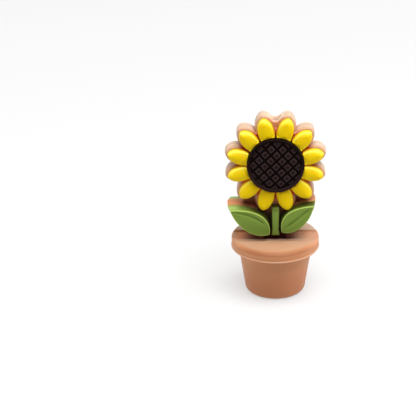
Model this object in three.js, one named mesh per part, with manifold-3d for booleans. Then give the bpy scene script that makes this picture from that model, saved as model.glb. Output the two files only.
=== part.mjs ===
// Potted sunflower bead: a two-sided silicone bead shaped as a sunflower in a flower pot.
// A terracotta core (pot, rim and flat core plate) carries yellow, brown and green pads that are
// moulded on its front and its back, and a bore for a cord or rod runs through it from top to bottom.
// Millimetres, +Z up, the pot's underside on Z = 0, the front facing -Y.
import * as THREE from 'three';
import { mergeVertices } from 'three/addons/utils/BufferGeometryUtils.js';
import Module from 'manifold-3d';

// ---- driving dimensions ----
const BORE_RADIUS = 0.9;

const POT_FOOT_RADIUS = 4.6; // radius of the sloping wall, carried down to the underside
const POT_NECK_RADIUS = 5.8; // radius of the sloping wall where it meets the rim
const POT_FILLET = 1.0;
const RIM_RADIUS = 6.93;
const RIM_BOTTOM = 7.62;
const RIM_TOP = 9.35;
const RIM_ROUNDING = 0.55;
const LIP_HEIGHT = 0.22;
const LIP_SINK = 0.06; // how far the wall above the lip lies behind it
const BAND_HALF_WIDTH = 1.5; // shallow straight recess across the top of the rim
const BAND_DEPTH = 0.22;
const POT_SEGMENTS = 64;

const CORE_HALF = 1.25; // half the thickness of the core plate
const CORE_EDGE = 0.85; // where the plate's edge starts to round over
const FLOWER_Z = 22.0;
const PETAL_ROOT = 3.6;
const PETAL_FRONT = 2.3;
// Each row is a left and right pair: angle above the horizontal, length from the middle, width.
const PETAL_PAIRS = [
  { angle: 75, tip: 7.82, width: 1.0 },
  { angle: 45, tip: 7.67, width: 0.95 },
  { angle: 14, tip: 7.62, width: 0.92 },
  { angle: -15, tip: 7.62, width: 0.92 },
  { angle: -45, tip: 7.7, width: 0.95 },
  { angle: -75, tip: 7.87, width: 0.96 },
];
const LOBE_MARGIN = 0.4; // how far the core shows round each petal
const HUB_RADIUS = 4.05;

const DISC_Z = 22.3; // the disc sits a little above the middle of the petals
const DISC_RADIUS = 4.41;
const DISC_EDGE_FRONT = 3.05;
const DISC_CROWN_FRONT = 3.25;
const DISC_ROUNDING = 0.25;
const WAFFLE_Z = 22.06;
const CELL_PITCH = 1.29;
const GROOVE_LEAN = 43.5; // degrees from the vertical, so that the cells are a little taller than wide
const GROOVE_WIDTH = 0.46;
const GROOVE_DEPTH = 0.32;
const WAFFLE_RADIUS = 3.85;

const LEAF_FRONT = 2.75;
const LEAF_MARGIN = 0.16;
const MIDRIB_WIDTH = 0.5;
const MIDRIB_DEPTH = 0.2;

const STEM_HALF_WIDTH = 0.56;
const STEM_FOOT_Z = 10.3;
const STEM_TOP_Z = 15.1;
const STEM_CORNER = 0.15;
const STEM_FRONT = 2.55;
const WEB_HALF_WIDTH = 2.7;
const WEB_TOP_Z = 19;

const NECK_RADIUS = 1.2; // round neck between the two top petals, where the bore opens
const NECK_TOP_Z = 29.1;

// ---- colours and material ----
const TERRACOTTA = 0xc98d68;
const YELLOW = 0xe6c916;
const BROWN = 0x2e1e1e;
const GREEN = 0x6f8a38;
const silicone = (colour) => new THREE.MeshStandardMaterial({ color: colour, roughness: 0.55, metalness: 0 });

// ---- solids ----
const wasm = await Module();
wasm.setup();

function solidFrom(geometry) {
  const bare = geometry.index ? geometry.clone() : geometry;
  bare.deleteAttribute('normal');
  bare.deleteAttribute('uv');
  const merged = mergeVertices(bare, 1e-4);
  return new wasm.Manifold(new wasm.Mesh({
    numProp: 3,
    vertProperties: new Float32Array(merged.attributes.position.array),
    triVerts: new Uint32Array(merged.index.array),
  }));
}

const joined = (solids) => solids.reduce((whole, next) => whole.add(next));

function meshOf(name, solid, colour) {
  const { vertProperties, triVerts } = solid.getMesh();
  const geometry = new THREE.BufferGeometry();
  geometry.setAttribute('position', new THREE.BufferAttribute(new Float32Array(vertProperties), 3));
  geometry.setIndex(new THREE.BufferAttribute(new Uint32Array(triVerts), 1));
  geometry.computeVertexNormals();
  const mesh = new THREE.Mesh(geometry, silicone(colour));
  mesh.name = name;
  return mesh;
}

// An outline drawn in (x, z), counter-clockwise, without the repeated last point.
function outlineOf(shape, divisions) {
  const points = shape.getPoints(divisions);
  if (points[0].distanceTo(points[points.length - 1]) < 1e-6) points.pop();
  return THREE.ShapeUtils.isClockWise(points) ? points.reverse() : points;
}

// The outline moved outwards by a margin, with its corners kept sharp but no longer than twice it.
function grown(outline, margin) {
  const count = outline.length;
  return outline.map((point, i) => {
    const before = outline[(i + count - 1) % count];
    const after = outline[(i + 1) % count];
    const into = point.clone().sub(before).normalize();
    const out = after.clone().sub(point).normalize();
    const normal = new THREE.Vector2(into.y + out.y, -into.x - out.x).normalize();
    const miter = Math.min(2, 1 / Math.max(0.1, normal.x * out.y - normal.y * out.x));
    return point.clone().addScaledVector(normal, margin * miter);
  });
}

// A closed pad: layers give [margin, y] from the front (lowest y) to the back.
function pad(outline, layers) {
  const loops = layers.map(([margin]) => grown(outline, margin));
  const count = outline.length;
  const positions = [];
  loops.forEach((loop, level) => loop.forEach((p) => positions.push(p.x, layers[level][1], p.y)));
  const index = [];
  for (let level = 0; level < loops.length - 1; level++) {
    for (let i = 0; i < count; i++) {
      const a = level * count + i;
      const b = level * count + ((i + 1) % count);
      index.push(a, a + count, b, b, a + count, b + count);
    }
  }
  const last = (loops.length - 1) * count;
  THREE.ShapeUtils.triangulateShape(loops[0], []).forEach(([a, b, c]) => index.push(a, b, c));
  THREE.ShapeUtils.triangulateShape(loops[loops.length - 1], [])
    .forEach(([a, b, c]) => index.push(last + a, last + c, last + b));
  const geometry = new THREE.BufferGeometry();
  geometry.setAttribute('position', new THREE.Float32BufferAttribute(positions, 3));
  geometry.setIndex(index);
  return solidFrom(geometry);
}

function box(x0, x1, y0, y1, z0, z1) {
  const geometry = new THREE.BoxGeometry(x1 - x0, y1 - y0, z1 - z0);
  geometry.translate((x0 + x1) / 2, (y0 + y1) / 2, (z0 + z1) / 2);
  return solidFrom(geometry);
}

// A solid turned about Z from (radius, height) points that start and end on the axis.
function turned(profile, segments) {
  const geometry = new THREE.LatheGeometry(profile.map(([r, h]) => new THREE.Vector2(r, h)), segments);
  geometry.rotateX(Math.PI / 2);
  return solidFrom(geometry);
}

const arc = (cr, cz, radius, from, to, steps) => Array.from({ length: steps + 1 }, (_, i) => {
  const angle = THREE.MathUtils.degToRad(from + ((to - from) * i) / steps);
  return [cr + radius * Math.cos(angle), cz + radius * Math.sin(angle)];
});

const toBack = (solid) => solid.mirror([0, 1, 0]);

// ---- pot, rim, core plate and bore ----
function potSolid() {
  const slope = (POT_NECK_RADIUS - POT_FOOT_RADIUS) / RIM_BOTTOM;
  const footRadius = POT_FOOT_RADIUS + slope * POT_FILLET;
  const wall = RIM_RADIUS - LIP_SINK;
  return turned([
    [0, 0],
    ...arc(footRadius - POT_FILLET, POT_FILLET, POT_FILLET, -90, -5, 5),
    [POT_NECK_RADIUS, RIM_BOTTOM],
    [RIM_RADIUS - LIP_SINK, RIM_BOTTOM],
    [RIM_RADIUS, RIM_BOTTOM + LIP_HEIGHT / 2],
    [wall, RIM_BOTTOM + LIP_HEIGHT],
    ...arc(wall - RIM_ROUNDING, RIM_TOP - RIM_ROUNDING, RIM_ROUNDING, 0, 90, 6),
    [0, RIM_TOP],
  ], POT_SEGMENTS);
}

// Layers of the core's edge: widest at the mould's parting plane, least at its two faces.
const coreEdge = (margin, atFace) => [
  [atFace, -CORE_HALF],
  [margin - 0.05, -CORE_EDGE],
  [margin, 0],
  [margin - 0.05, CORE_EDGE],
  [atFace, CORE_HALF],
];

function petalOutline(degrees, tip, width) {
  const shape = new THREE.Shape();
  shape.moveTo(PETAL_ROOT, -0.88 * width);
  shape.bezierCurveTo(5.6, -1.72 * width, tip - 0.3, -1.2 * width, tip, 0);
  shape.bezierCurveTo(tip - 0.3, 1.2 * width, 5.6, 1.72 * width, PETAL_ROOT, 0.88 * width);
  const centre = new THREE.Vector2(0, 0);
  const lift = new THREE.Vector2(0, FLOWER_Z);
  const turn = THREE.MathUtils.degToRad(degrees);
  return outlineOf(shape, 8).map((point) => point.rotateAround(centre, turn).add(lift));
}

const petalOutlines = PETAL_PAIRS.flatMap(({ angle, tip, width }) => [
  petalOutline(angle, tip, width),
  petalOutline(180 - angle, tip, width),
]);

function leafOutline(tip, upper, foot, lower) {
  const shape = new THREE.Shape();
  shape.moveTo(...tip);
  shape.bezierCurveTo(...upper, ...foot);
  shape.bezierCurveTo(...lower, ...tip);
  return outlineOf(shape, 10);
}

const LEAVES = {
  left: {
    outline: leafOutline([-7.35, 14.85], [-4.4, 15.25, -0.75, 14.4], [-0.76, 10.42], [-2.85, 9.4, -6.15, 11.0]),
    midrib: [new THREE.Vector2(-6.65, 14.4), new THREE.Vector2(-1.7, 12.3)],
  },
  right: {
    outline: leafOutline([6.12, 15.6], [3.05, 15.45, 0.42, 14.4], [0.74, 10.85], [2.4, 9.9, 5.75, 11.7]),
    midrib: [new THREE.Vector2(5.4, 14.85), new THREE.Vector2(1.6, 11.45)],
  },
};

function coreSolid() {
  const lobes = petalOutlines.map((outline) => pad(outline, coreEdge(LOBE_MARGIN, 0.15)));
  const leaves = Object.values(LEAVES).map(({ outline }) => pad(outline, coreEdge(LEAF_MARGIN, 0.04)));
  const heart = new THREE.Shape().absarc(0, FLOWER_Z, HUB_RADIUS + 0.6, 0, 2 * Math.PI);
  const plate = pad(outlineOf(heart, 12), [[0, -CORE_HALF], [0, CORE_HALF]]);
  const web = box(-WEB_HALF_WIDTH, WEB_HALF_WIDTH, -CORE_HALF, CORE_HALF, POT_FILLET, WEB_TOP_Z);
  const neck = turned([
    [0, FLOWER_Z],
    [NECK_RADIUS, FLOWER_Z],
    ...arc(NECK_RADIUS - 0.2, NECK_TOP_Z - 0.2, 0.2, 0, 90, 2),
    [0, NECK_TOP_Z],
  ], 24);
  const band = box(-8, 8, -BAND_HALF_WIDTH, BAND_HALF_WIDTH, RIM_TOP - BAND_DEPTH, RIM_TOP + 1);
  const bore = turned([[0, -1], [BORE_RADIUS, -1], [BORE_RADIUS, 32], [0, 32]], 24);
  return joined([potSolid().subtract(band), ...lobes, ...leaves, plate, web, neck]).subtract(bore);
}

// ---- front pads ----
function petalsSolid() {
  const layers = [
    [-0.3, -PETAL_FRONT],
    [-0.1, -PETAL_FRONT + 0.2],
    [0, -CORE_HALF],
  ];
  const petals = petalOutlines.map((outline) => pad(outline, layers));
  const hub = new THREE.Shape().absarc(0, FLOWER_Z, HUB_RADIUS, 0, 2 * Math.PI);
  return joined([...petals, pad(outlineOf(hub, 12), [[0, -PETAL_FRONT], [0, -CORE_HALF]])]);
}

function discSolid() {
  const steps = 4;
  const crown = Array.from({ length: steps + 1 }, (_, i) => {
    const r = ((DISC_RADIUS - DISC_ROUNDING) * (steps - i)) / steps;
    const fall = (r / (DISC_RADIUS - DISC_ROUNDING)) ** 2;
    return [r, DISC_CROWN_FRONT - (DISC_CROWN_FRONT - DISC_EDGE_FRONT) * fall];
  });
  const blank = turned([
    [0, PETAL_FRONT],
    [DISC_RADIUS, PETAL_FRONT],
    [DISC_RADIUS, DISC_EDGE_FRONT - DISC_ROUNDING],
    ...crown,
  ], 48).rotate([90, 0, 0]).translate([0, 0, DISC_Z]);
  const grooves = [];
  const reach = Math.ceil(WAFFLE_RADIUS / CELL_PITCH);
  for (let i = -reach; i < reach; i++) {
    const offset = (i + 0.5) * CELL_PITCH;
    const half = Math.sqrt(Math.max(0, WAFFLE_RADIUS ** 2 - offset ** 2));
    if (half > CELL_PITCH / 2) {
      grooves.push(grooveCutter(offset, half, GROOVE_LEAN), grooveCutter(offset, half, -GROOVE_LEAN));
    }
  }
  return blank.subtract(joined(grooves));
}

// A V-shaped cutter along a line at the given lean, which leaves the disc's border whole.
function grooveCutter(offset, half, lean) {
  const section = new THREE.Shape([
    new THREE.Vector2(offset - GROOVE_WIDTH * 0.7, -DISC_CROWN_FRONT - 0.1),
    new THREE.Vector2(offset + GROOVE_WIDTH * 0.7, -DISC_CROWN_FRONT - 0.1),
    new THREE.Vector2(offset + GROOVE_WIDTH * 0.25, -DISC_CROWN_FRONT + GROOVE_DEPTH),
    new THREE.Vector2(offset - GROOVE_WIDTH * 0.25, -DISC_CROWN_FRONT + GROOVE_DEPTH),
  ]);
  const geometry = new THREE.ExtrudeGeometry(section, { depth: 2 * half, bevelEnabled: false });
  geometry.translate(0, 0, -half);
  return solidFrom(geometry).rotate([0, lean, 0]).translate([0, 0, WAFFLE_Z]);
}

function leafSolid({ outline, midrib }) {
  const blade = pad(outline, [
    [-0.32, -LEAF_FRONT],
    [-0.2, -LEAF_FRONT + 0.15],
    [0, -CORE_HALF],
  ]);
  const [from, to] = midrib;
  const along = to.clone().sub(from);
  const spindle = new THREE.OctahedronGeometry(1);
  spindle.scale(along.length() / 2, MIDRIB_DEPTH, MIDRIB_WIDTH / 2);
  spindle.rotateY(-along.angle());
  spindle.translate((from.x + to.x) / 2, -LEAF_FRONT, (from.y + to.y) / 2);
  return blade.subtract(solidFrom(spindle));
}

function stemSolid() {
  const strip = [
    new THREE.Vector2(-STEM_HALF_WIDTH, STEM_FOOT_Z),
    new THREE.Vector2(STEM_HALF_WIDTH, STEM_FOOT_Z),
    new THREE.Vector2(STEM_HALF_WIDTH, STEM_TOP_Z - STEM_CORNER),
    new THREE.Vector2(STEM_HALF_WIDTH - STEM_CORNER, STEM_TOP_Z),
    new THREE.Vector2(STEM_CORNER - STEM_HALF_WIDTH, STEM_TOP_Z),
    new THREE.Vector2(-STEM_HALF_WIDTH, STEM_TOP_Z - STEM_CORNER),
  ];
  return pad(strip, [[-0.1, -STEM_FRONT], [0, -STEM_FRONT + 0.2], [0, -CORE_HALF]]);
}

// ---- the bead ----
const group = new THREE.Group();
group.add(meshOf('body', coreSolid(), TERRACOTTA));
const pads = [
  ['petals', petalsSolid(), YELLOW],
  ['disc', discSolid(), BROWN],
  ['leaf_left', leafSolid(LEAVES.left), GREEN],
  ['leaf_right', leafSolid(LEAVES.right), GREEN],
  ['stem', stemSolid(), GREEN],
];
for (const [name, solid, colour] of pads) {
  group.add(meshOf(`${name}_front`, solid, colour));
  group.add(meshOf(`${name}_back`, toBack(solid), colour));
}

export default group;
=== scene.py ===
"""Looks of a potted sunflower bead: satin silicone in four colours, alike front and back."""

import math

import bmesh
import bpy
import numpy as np
from bpy.props import FloatProperty, FloatVectorProperty, PointerProperty
from mathutils import Matrix, Vector


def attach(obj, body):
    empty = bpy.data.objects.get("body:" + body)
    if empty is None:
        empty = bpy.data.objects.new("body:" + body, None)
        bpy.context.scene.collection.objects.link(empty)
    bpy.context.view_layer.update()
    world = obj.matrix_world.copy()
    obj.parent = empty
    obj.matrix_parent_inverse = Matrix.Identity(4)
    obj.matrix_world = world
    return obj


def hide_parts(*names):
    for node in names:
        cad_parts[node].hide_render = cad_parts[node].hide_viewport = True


bl_info = {
    "name": "Potted Sunflower Bead",
    "version": (1, 0, 0),
    "blender": (4, 5, 0),
    "location": "View3D > Sidebar > Bead",
    "description": "Builds a two-sided silicone sunflower bead and the stage it stands on",
    "category": "Add Mesh",
}

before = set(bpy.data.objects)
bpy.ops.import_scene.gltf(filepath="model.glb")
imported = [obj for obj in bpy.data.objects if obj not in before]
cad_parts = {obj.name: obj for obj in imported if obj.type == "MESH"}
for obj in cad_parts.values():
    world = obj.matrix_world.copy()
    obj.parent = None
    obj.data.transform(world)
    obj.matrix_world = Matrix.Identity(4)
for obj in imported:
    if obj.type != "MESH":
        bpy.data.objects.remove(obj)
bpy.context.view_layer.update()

MM = 0.001  # every shape below is drawn in millimetres
RING_POINTS = 144  # points in each ring of the pot

# ---- the bead's main dimensions, close to those of its solids ----
BORE_RADIUS = 0.9
RIM_TOP = 9.35
RIM_RADIUS = 6.87
CORE_HALF = 1.25
CORE_STRAIGHT = 0.8  # half the width of the core's upright side
PLATE_MARGIN = 0.4  # how far the core's lobes stand out beyond the petals
SUNK = 0.15  # how deep inside the core each pad starts
FLOWER_Z = 22.0
SADDLE_Z = 29.1
DISC_Z = 22.3
DISC_RADIUS = 4.41
DISC_EDGE_FRONT = 3.05
DISC_CROWN_FRONT = 3.38
DISC_CORNER = 0.13  # radius of the disc's outer edge
FIELD_RISE = 0.18  # how far the waffle's round field sits above the disc's middle
WAFFLE_X = 0.05
WAFFLE_Z = 22.32
WAFFLE_TURN = 2.75  # degrees, clockwise from the front
PETAL_FRONT = 2.3
LEAF_FRONT = 2.75
STEM_FRONT = 2.55
PETAL_PAIRS = (  # angle above the horizontal, length from the middle, width
    (75, 7.82, 0.985),
    (45, 7.67, 0.95),
    (14, 7.62, 0.92),
    (-15, 7.62, 0.92),
    (-45, 7.7, 0.95),
    (-75, 7.87, 0.96),
)
LEAVES = {  # tip, control points, foot, control points back to the tip; then the midrib's line
    "left": (
        ((-7.35, 14.85), (-4.4, 15.25), (-0.25, 14.35), (-0.7, 10.46)),
        ((-0.7, 10.46), (-2.85, 9.4), (-6.15, 11.0), (-7.35, 14.85)),
        ((-7.0, 14.6), (-4.7, 14.15), (-3.1, 13.75), (-1.3, 12.1)),
    ),
    "right": (
        ((6.12, 15.6), (3.05, 15.45), (0.1, 14.4), (0.74, 10.85)),
        ((0.74, 10.85), (2.4, 9.9), (5.75, 11.7), (6.12, 15.6)),
        ((5.85, 15.3), (4.6, 14.5), (3.4, 13.0), (1.3, 11.55)),
    ),
}

# ---- the camera ----
VIEW_ELEVATION = 24.93  # degrees above the horizon
VIEW_TURN = 1.03  # degrees to the object's right of straight ahead
VIEW_ROLL = 0.78
VIEW_DISTANCE = 307.6
VIEW_LENS = 170.3
VIEW_AIM = (-10.51, -0.19, 14.07)

# ---- the stage ----
FLOOR_HALF = 3000  # the floor reaches this far each way
FLOOR_GLOW = 0.52
LAMPS = (  # name, place and size in metres, power in watts
    ("key", (0.06, -0.13, 0.41), (0.34, 0.34), 2.9),
    ("right side", (0.4, 0.04, 0.12), (0.25, 0.2), 0.62),
    ("left side", (-0.4, 0.04, 0.12), (0.25, 0.2), 0.42),
)

# ---- tints within each colour, linear: painted light and shade, and a few plain tints ----
BLACK = (0.0, 0.0, 0.0)
SHOULDER_SHADE = (0.31, 0.118, 0.049)
TRENCH_PAINTED_LIGHT = (0.9, 0.35, 0.15)
TRENCH_END_PAINTED_LIGHT = (0.6, 0.31, 0.19)
ARM_PAINTED_LIGHT = (0.85, 0.35, 0.14)
ARM_GREEN = (0.3, 0.36, 0.07)
CLEFT_PAINTED_SHADE = (0.5, 0.17, 0.085)
CLEFT_FOOT_HIGHLIGHT = (0.85, 0.5, 0.38)
WEB_TOP_SHADE = (0.19, 0.065, 0.036)
WEB_LOW_SHADE = (0.024, 0.016, 0.006)
WEB_FOOT_SHADE = (0.05, 0.008, 0.005)
GROOVE_SHADE = (0.0042, 0.0018, 0.002)
CELL_EDGE_HIGHLIGHT = (0.062, 0.042, 0.044)
CELL_HOLLOW_SHADE = (0.006, 0.003, 0.003)
LEAF_BEVEL_HIGHLIGHT = (0.42, 0.56, 0.13)
LEAF_MIDRIB_SHADE = (0.075, 0.125, 0.018)
LEAF_TIP_WALL_LIGHT = (0.5, 0.66, 0.2)
LEAF_FOOT = (0.055, 0.075, 0.01)
LEAF_TUCKED_SHADE = (0.035, 0.035, 0.004)
PETAL_LIT = (0.98, 1.0, 0.15)
PETAL_GAP_SHADE = (0.5, 0.045, 0.004)
PETAL_DISC_SHADOW = (0.3, 0.035, 0.002)
PETAL_EDGE_LIGHT = (0.2, 0.155, 0.004)
PETAL_GAP_LIGHT = (0.11, 0.006, 0.002)


def millimetres(default, name, description):
    return FloatProperty(name=name, description=description, default=default * MM, min=0.0,
                         unit="LENGTH", precision=5)


def colour(default, name, description):
    linear = [((c / 255 + 0.055) / 1.055) ** 2.4 for c in default]
    return FloatVectorProperty(name=name, description=description, default=linear, size=3,
                               min=0.0, max=1.0, subtype="COLOR")


class BeadSizes(bpy.types.PropertyGroup):
    rim_shoulder: millimetres(1.55, "Rim shoulder", "How far in the rim's top starts to fall")
    rim_fall: millimetres(0.85, "Rim fall", "How far the rim's shoulder falls to its upright side")
    parting_groove: millimetres(0.03, "Parting groove", "Depth of the parting line round the core")
    petal_rounding: millimetres(0.42, "Petal rounding", "Radius of the edge round a petal's face")
    petal_crown: millimetres(0.2, "Petal crown", "How far a petal's face swells above its edge")
    leaf_bevel: millimetres(0.1, "Leaf bevel", "Width of the bright bevel round each leaf")
    midrib_depth: millimetres(0.15, "Midrib depth", "Depth of the groove along each leaf")
    cell_width: millimetres(1.754, "Cell width", "Width of one diamond of the waffle")
    cell_height: millimetres(1.872, "Cell height", "Height of one diamond of the waffle")
    cell_relief: millimetres(0.34, "Cell relief", "How far the diamonds stand above their grooves")
    ring_width: millimetres(0.46, "Ring width", "Width of the smooth border round the waffle")


class BeadColours(bpy.types.PropertyGroup):
    terracotta: colour((194, 134, 95), "Terracotta", "The core and the pot")
    terracotta_low: colour((178, 115, 79), "Low terracotta", "The lower part of the pot")
    # rim_top_sheen: a painted sheen, the rim's top paler as if glossy under the overhead light
    rim_top_sheen: colour((184, 141, 110), "Rim top", "The flat top of the rim")
    # cream_painted_light: painted light, pale in the hole's mouth, at the front edge of the rim's
    # recess and along the arms' back edges
    cream_painted_light: colour((255, 240, 220), "Cream", "The thin wall round the mouth of the threading hole")
    # peach_painted_light: painted light, paler where light would shine through thin silicone, and
    # on the lip, the foot and the rim's back edge
    peach_painted_light: colour((197, 175, 152), "Peach", "The core where it is thin enough for light to pass")
    # recess: painted shade, the deep red of shade behind the stem, in the rim's recess and on the
    # recessed flash
    recess: colour((104, 26, 11), "Deep red", "The core behind the stem and in the rim's recess")
    # glow: painted glow, a warm red standing in for light through the silicone down between the
    # petals
    glow: colour((176, 48, 18), "Warm red", "The core down between the petals")
    yellow: colour((227, 193, 12), "Yellow", "The petals")
    brown: colour((42, 29, 28), "Dark brown", "The disc")
    green: colour((115, 139, 60), "Green", "The leaves and the stem")
    floor: colour((146, 146, 146), "Floor", "The plain floor")


# ---- curves and outlines, as (n, 2) arrays of x and z ----
def bezier(points, count):
    t = np.linspace(0.0, 1.0, count)[:, None]
    a, b, c, d = (np.array(p, float) for p in points)
    return (1 - t) ** 3 * a + 3 * t * (1 - t) ** 2 * b + 3 * t**2 * (1 - t) * c + t**3 * d


def lengths(rows):
    return np.linalg.norm(rows, axis=1)


def along(line, count):
    """The same line with its points evenly spaced."""
    steps = np.r_[0.0, np.cumsum(lengths(np.diff(line, axis=0)))]
    at = np.linspace(0.0, steps[-1], count)
    return np.c_[np.interp(at, steps, line[:, 0]), np.interp(at, steps, line[:, 1])]


def distance_to(points, loop):
    """How far each point is from a closed loop."""
    start, end = loop, np.roll(loop, -1, axis=0)
    step = end - start
    rel = points[:, None, :] - start[None]
    share = np.clip((rel * step).sum(2) / np.maximum((step**2).sum(1), 1e-12), 0.0, 1.0)
    return np.linalg.norm(rel - share[..., None] * step, axis=2).min(1)


def reversed_loop(loop):
    """The loop the other way round, from the same first point."""
    return np.roll(loop[::-1], 1, axis=0)


class Outline:
    """A closed outline of two sides with one count of points, and a spine that pairs them up."""

    def __init__(self, upper, lower, spine):
        self.loop = np.vstack([upper[:-1], lower[::-1][:-1]])
        self.spine = np.vstack([spine[:-1], spine[::-1][:-1]])
        if self.area() < 0:
            self.loop, self.spine = reversed_loop(self.loop), reversed_loop(self.spine)

    def area(self):
        x, z = self.loop.T
        return (x * np.roll(z, -1) - np.roll(x, -1) * z).sum() / 2

    def inward(self, share, start=None):
        """The outline, or a loop beside it, moved a share of the way in to the spine."""
        start = self.loop if start is None else start
        return start + (self.spine - start) * share

    def inset(self, margin):
        """The outline moved in by a margin, or out where the margin is negative."""
        if np.max(margin) <= 0:
            ahead = np.roll(self.loop, -1, axis=0) - self.loop
            behind = self.loop - np.roll(self.loop, 1, axis=0)
            ahead /= lengths(ahead)[:, None]
            behind /= lengths(behind)[:, None]
            normal = np.c_[(ahead + behind)[:, 1], -(ahead + behind)[:, 0]]
            normal /= lengths(normal)[:, None]
            return self.loop - normal * margin
        low, high = np.zeros(len(self.loop)), np.full(len(self.loop), 0.98)
        for _ in range(22):
            middle = (low + high) / 2
            near = distance_to(self.inward(middle[:, None]), self.loop) < margin
            low, high = np.where(near, middle, low), np.where(near, high, middle)
        return self.inward(high[:, None])


def petal_controls(tip, width):
    """The control points of one side of a petal, from its tip to its inner end."""
    return np.array([(tip, 0.0), (tip - 0.3, 1.2 * width), (5.6, 1.72 * width),
                     (3.6, 0.88 * width)])


def petal_outline(degrees, tip, width):
    """One petal: two swelling sides that meet in a tip, its inner end cut parallel to the disc."""
    turn = math.radians(degrees)
    out = np.array([math.cos(turn), math.sin(turn)])
    across = np.array([-out[1], out[0]])
    middle, disc = np.array([0.0, FLOWER_Z]), np.array([0.0, DISC_Z])
    inner_radius, corner = DISC_RADIUS + 0.02, 0.24
    sides = []
    for hand in (1, -1):
        side = bezier(petal_controls(tip, width), 400)
        side = middle + side[:, :1] * out + hand * side[:, 1:] * across
        side = side[lengths(side - disc) > inner_radius]
        edge = side[-1] - disc
        heading = middle + out * 5 - disc
        start = math.atan2(edge[1], edge[0])
        sweep = (math.atan2(heading[1], heading[0]) - start + math.pi) % (2 * math.pi) - math.pi
        angles = start + np.linspace(0.0, sweep, 60)
        end = disc + inner_radius * np.c_[np.cos(angles), np.sin(angles)]
        reach = lengths(side - side[-1])
        kept = side[reach > corner]
        cut = end[lengths(end - end[0]) > corner * 0.8]
        near, far = ((point + 2 * side[-1]) / 3 for point in (kept[-1], cut[0]))
        turned_corner = bezier((kept[-1], near, far, cut[0]), 14)
        sides.append(along(np.vstack([kept, turned_corner[1:-1], cut]), 46))
    reach = ((sides[0] + sides[1]) / 2 - middle) @ out
    reach = np.clip(reach, reach[-1] + 0.55, tip - 0.75)
    return Outline(sides[0], sides[1], middle + reach[:, None] * out)


def leaf_outline(upper, lower, midrib):
    lines = ((upper, 200), (lower[::-1], 200), (midrib, 60))
    return Outline(*(along(bezier(line, steps), 56) for line, steps in lines))


# ---- meshes ----
class Shell:
    """Closed loops of equal count, skinned one after another and closed at both ends."""

    def __init__(self):
        self.points = []
        self.faces = []
        self.rings = []
        self.tones = []

    def ring(self, loop, y, tone=0.5):
        y = np.broadcast_to(y, len(loop))
        first = len(self.points)
        self.points.extend(zip(loop[:, 0], y, loop[:, 1]))
        self.tones.extend(np.broadcast_to(tone, len(loop)))
        self.rings.append((first, len(loop)))

    def skin(self):
        for (a, count), (b, _) in zip(self.rings, self.rings[1:]):
            for i in range(count):
                j = (i + 1) % count
                self.faces.append((a + i, b + i, b + j, a + j))
        return self

    def join(self, other, mirrored=False):
        first = len(self.points)
        flip = -1 if mirrored else 1
        self.points.extend((x, y * flip, z) for x, y, z in other.points)
        self.tones.extend(other.tones)
        for face in other.faces:
            self.faces.append(tuple(first + i for i in (face[::-1] if mirrored else face)))
        return self


def new_object(name, data):
    piece = bpy.data.objects.new(name, data)
    bpy.context.scene.collection.objects.link(piece)
    return piece


def mesh_object(name, points, faces, material, crease=38.0, tones=()):
    """A piece in metres, its doubles merged, its faces pointing out, smooth but for creases."""
    merging = 0.0005 * MM
    mesh = bpy.data.meshes.new(name)
    mesh.from_pydata([tuple(c * MM for c in p) for p in points], [], faces)
    if len(tones):
        attribute = mesh.attributes.new("tone", "FLOAT", "POINT")
        attribute.data.foreach_set("value", np.array(tones, np.float32))
    work = bmesh.new()
    work.from_mesh(mesh)
    bmesh.ops.remove_doubles(work, verts=work.verts, dist=merging)
    bmesh.ops.dissolve_degenerate(work, edges=work.edges, dist=merging)
    bmesh.ops.recalc_face_normals(work, faces=work.faces)
    work.to_mesh(mesh)
    work.free()
    mesh.materials.append(material)
    finish_normals(mesh, crease)
    return new_object(name, mesh)


def finish_normals(mesh, crease):
    mesh.shade_smooth()
    mesh.set_sharp_from_angle(angle=math.radians(crease))


def turned(profile, count=RING_POINTS):
    """Rings about Z from (radius, height) points that start and end on the axis."""
    angles = np.arange(count) * 2 * math.pi / count
    points, faces = [], []
    for radius, height in profile:
        heights = np.broadcast_to(height, count)
        points.extend(zip(radius * np.cos(angles), radius * np.sin(angles), heights))
    for level in range(len(profile) - 1):
        for i in range(count):
            j = (i + 1) % count
            a, b = level * count, (level + 1) * count
            faces.append((a + i, a + j, b + j, b + i))
    return points, faces


def arc(cx, cz, radius, start, end, steps):
    angles = np.radians(np.linspace(start, end, steps + 1))
    return [(cx + radius * math.cos(a), cz + radius * math.sin(a)) for a in angles]


def block(x0, x1, y0, y1, z0, z1):
    points = [(x, y, z) for z in (z0, z1) for y in (y0, y1) for x in (x0, x1)]
    faces = [(0, 2, 3, 1), (4, 5, 7, 6), (0, 1, 5, 4), (2, 6, 7, 3), (0, 4, 6, 2), (1, 3, 7, 5)]
    return points, faces


def finish_modifiers(piece):
    """Works out the piece's modifiers into its mesh and takes them off."""
    graph = bpy.context.evaluated_depsgraph_get()
    mesh = bpy.data.meshes.new_from_object(piece.evaluated_get(graph))
    piece.modifiers.clear()
    piece.data = mesh


def modified(piece, kind, **settings):
    step = piece.modifiers.new("step", kind)
    for key, value in settings.items():
        setattr(step, key, value)
    finish_modifiers(piece)
    return piece


def combine(base, operation, *tools):
    """Joins the tools to the base, or cuts them from it, and removes them."""
    for tool in tools:
        modified(base, "BOOLEAN", operation=operation, solver="EXACT", object=tool)
        bpy.data.objects.remove(tool)


# ---- nodes ----
class Socket:
    """A node's value that can be used in Python sums."""

    def __init__(self, tree, socket):
        self.tree = tree
        self.socket = socket

    def __add__(self, other):
        return self.tree.maths("ADD", self, other)

    def __sub__(self, other):
        return self.tree.maths("SUBTRACT", self, other)

    def __rsub__(self, other):
        return self.tree.maths("SUBTRACT", other, self)

    def __mul__(self, other):
        return self.tree.maths("MULTIPLY", self, other)

    __radd__ = __add__
    __rmul__ = __mul__


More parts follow.
